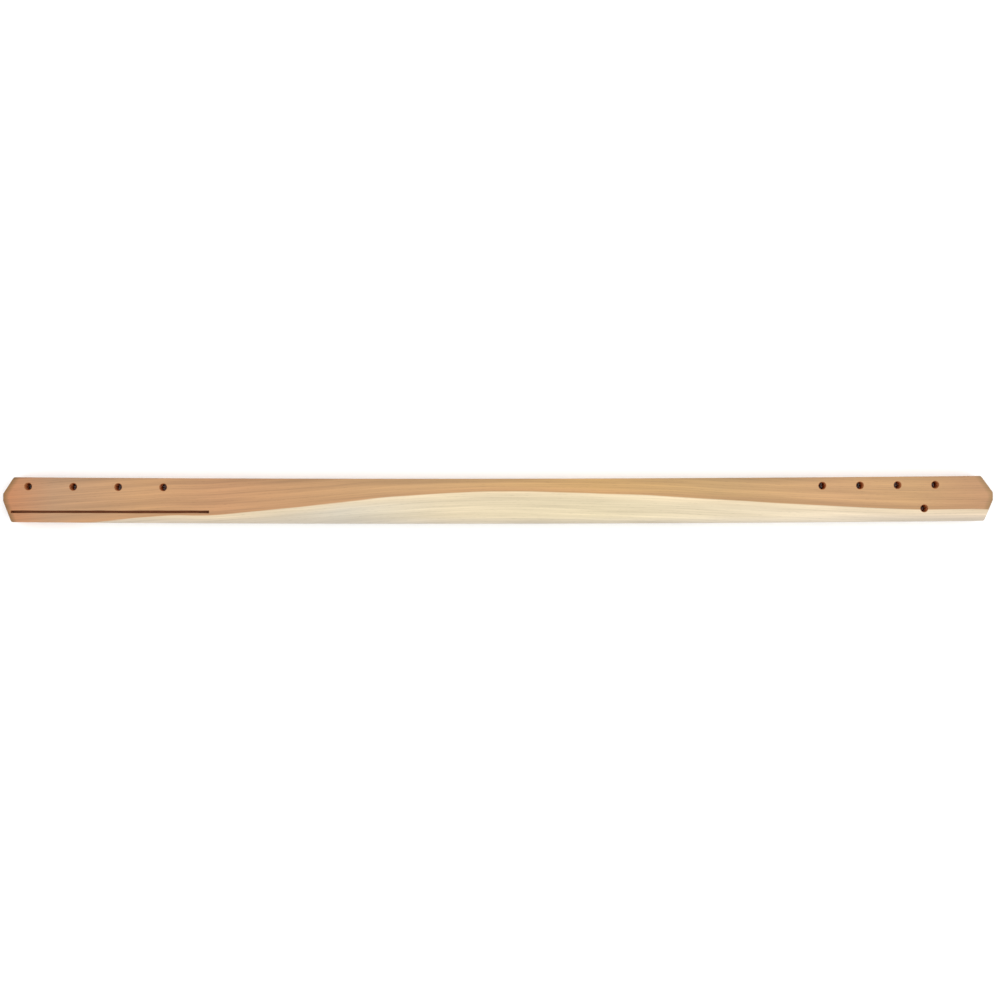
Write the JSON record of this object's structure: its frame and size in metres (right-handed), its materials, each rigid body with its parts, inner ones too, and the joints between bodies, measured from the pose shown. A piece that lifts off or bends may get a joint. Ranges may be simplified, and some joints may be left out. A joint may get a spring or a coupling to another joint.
{
  "type": "grab rail",
  "caption": "Straight two-tone timber rail with pointed ends, rows of bolt holes near one edge at both ends, and a long, closed saw slot in its front face.",
  "frame": {"origin": "middle of the back face of the bar, at mid-length and mid-width, on the surface that it lies on", "axes": "+X along the rail towards the end with five holes, +Y across the face towards the edge with the rows of holes, +Z out of the front face"},
  "size_m": [1.1, 0.0524, 0.03],
  "materials": {
    "heartwood": "planed and left bare, pinkish-brown heartwood with fine lengthwise grain and redder streaks by the colour line",
    "sapwood": "planed and left bare, creamy sapwood with faint lengthwise grain, greyer towards its outer edge"
  },
  "bodies": {
    "root": {"heartwood": "heartwood", "sapwood": "sapwood"}
  },
  "joints": []
}
